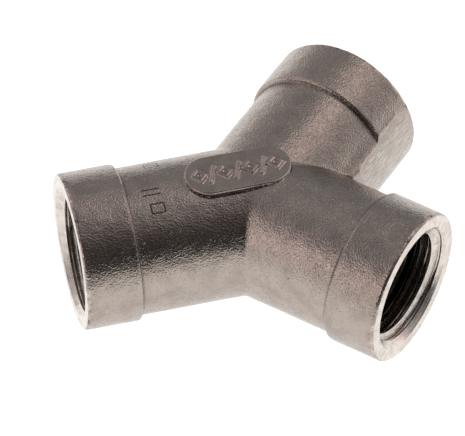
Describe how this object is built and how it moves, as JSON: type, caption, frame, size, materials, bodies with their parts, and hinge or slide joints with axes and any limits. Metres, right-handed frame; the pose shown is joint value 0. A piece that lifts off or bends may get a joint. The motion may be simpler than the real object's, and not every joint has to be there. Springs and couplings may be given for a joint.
{
  "type": "threaded y pipe fitting",
  "caption": "Cast stainless Y pipe fitting: a female-threaded trunk port splits into branch ports at 45 degrees to either side, each with a raised collar; open right through.",
  "frame": {"origin": "the point where the axes of the ports cross, which is within half a millimetre of the middle of the part's box", "axes": "-X out of the trunk port along its axis; the branch ports point 45 degrees to either side of +X in the plane z = 0; +Z out of the marked side"},
  "size_m": [0.0387, 0.038, 0.0164],
  "materials": {
    "cast_stainless": "satin"
  },
  "bodies": {
    "root": {"cast_body": "cast_stainless"}
  },
  "joints": []
}
